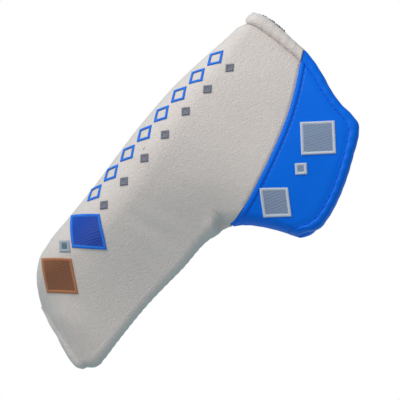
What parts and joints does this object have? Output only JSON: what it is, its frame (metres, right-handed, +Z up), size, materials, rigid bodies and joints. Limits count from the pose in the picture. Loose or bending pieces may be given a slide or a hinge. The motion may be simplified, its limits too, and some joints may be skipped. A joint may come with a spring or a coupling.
{
  "type": "putter head cover",
  "caption": "Padded L-shaped cover for a blade putter: white pocket, blue collar round the shaft, rolled hem, and a heel slit whose two padded flaps fold open.",
  "frame": {"origin": "under the middle of the cover, on the surface it lies on", "axes": "+X from heel to toe, +Y from the sole to the shaft mouth, +Z up out of the front face"},
  "size_m": [0.1944, 0.105, 0.0389],
  "materials": {
    "white_leather": "coated leather, fine pebble grain, satin",
    "blue_leather": "coated leather, smooth, satin",
    "foam": "open-cell foam sheet",
    "plush": "short black plush",
    "hook": "woven hook tape",
    "loop": "brushed loop tape",
    "silver_thread": "satin-stitched polyester thread",
    "blue_thread": "satin-stitched polyester thread",
    "slate_thread": "satin-stitched polyester thread",
    "brown_thread": "satin-stitched polyester thread",
    "grey_thread": "satin-stitched polyester thread"
  },
  "bodies": {
    "pouch": {"front_pocket_panel": "white_leather", "front_throat_panel": "blue_leather", "front_pocket_foam": "foam", "front_pocket_lining": "plush", "rear_pocket_panel": "white_leather", "rear_throat_panel": "blue_leather", "rear_pocket_foam": "foam", "rear_pocket_lining": "plush", "throat_lozenge": "silver_thread", "toe_lozenge_blue": "blue_thread", "toe_pip": "slate_thread", "toe_lozenge_brown": "brown_thread", "band_lozenges": "blue_thread", "dot_lozenges": "grey_thread"},
    "front_flap": {"front_heel_panel": "white_leather", "front_collar_panel": "blue_leather", "front_flap_foam": "foam", "front_flap_lining": "plush", "front_heel_hem": "white_leather", "front_collar_hem": "blue_leather", "hook_tape": "hook", "collar_lozenge": "silver_thread", "collar_pip": "silver_thread"},
    "rear_flap": {"rear_heel_panel": "white_leather", "rear_collar_panel": "blue_leather", "rear_flap_foam": "foam", "rear_flap_lining": "plush", "rear_heel_hem": "white_leather", "rear_collar_hem": "blue_leather", "loop_tape": "loop"}
  },
  "joints": [
    {"name": "front_flap_flex", "type": "hinge", "parent": "pouch", "child": "front_flap", "pos_m": [-0.08929, -0.04768, 0.0264], "axis": [0.5218, 0.848, 0.093], "range_deg": [0, 45], "stiffness_Nm_per_rad": 0.2, "springref_deg": -2.86},
    {"name": "rear_flap_flex", "type": "hinge", "parent": "pouch", "child": "rear_flap", "pos_m": [-0.08929, -0.04768, 0.0096], "axis": [-0.5218, -0.848, 0.093], "range_deg": [0, 13], "stiffness_Nm_per_rad": 0.2, "springref_deg": -2.86}
  ]
}
